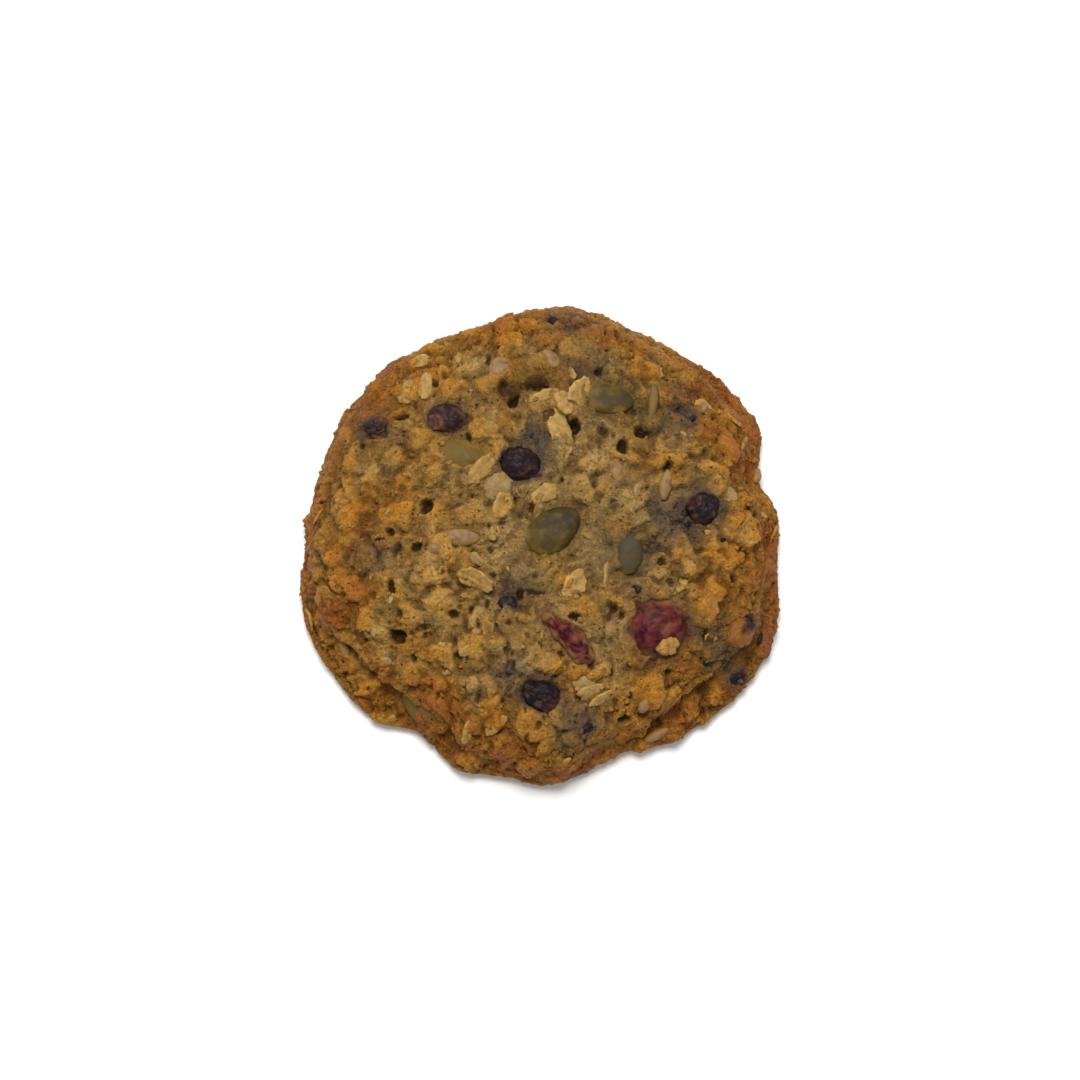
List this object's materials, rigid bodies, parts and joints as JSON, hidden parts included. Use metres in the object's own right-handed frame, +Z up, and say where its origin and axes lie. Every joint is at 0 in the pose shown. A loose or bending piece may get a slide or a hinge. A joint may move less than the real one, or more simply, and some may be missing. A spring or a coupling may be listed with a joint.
{
  "type": "oat cookie with wild blueberries, dried cranberries and pumpkin kernels",
  "caption": "Thick round baked oat cookie with a craggy domed top, a spread foot, and wild blueberries, dried cranberries, pumpkin kernels and oat flakes set in the dough.",
  "frame": {"origin": "on the flat underside, below the middle of the cookie's bounding box", "axes": "+Z up out of the flat underside, +X to the right and +Y away from the viewer in the picture, which looks down from above"},
  "size_m": [0.0906, 0.0925, 0.0185],
  "materials": {
    "baked_dough": "matt baked crumb with oat flakes, golden brown at the rim and paler in the middle",
    "blueberry_skin": "dark wrinkled berry skin, slightly waxy",
    "cranberry_skin": "deep red wrinkled fruit skin, slightly sticky",
    "pumpkin_kernel_skin": "smooth olive-green seed skin"
  },
  "bodies": {
    "root": {"cookie": "baked_dough", "blueberry_1": "blueberry_skin", "blueberry_2": "blueberry_skin", "blueberry_3": "blueberry_skin", "blueberry_4": "blueberry_skin", "blueberry_5": "blueberry_skin", "blueberry_6": "blueberry_skin", "cranberry_1": "cranberry_skin", "cranberry_2": "cranberry_skin", "pumpkin_kernel_1": "pumpkin_kernel_skin", "pumpkin_kernel_2": "pumpkin_kernel_skin", "pumpkin_kernel_3": "pumpkin_kernel_skin", "pumpkin_kernel_4": "pumpkin_kernel_skin", "pumpkin_kernel_5": "pumpkin_kernel_skin", "pumpkin_kernel_6": "pumpkin_kernel_skin"}
  },
  "joints": []
}
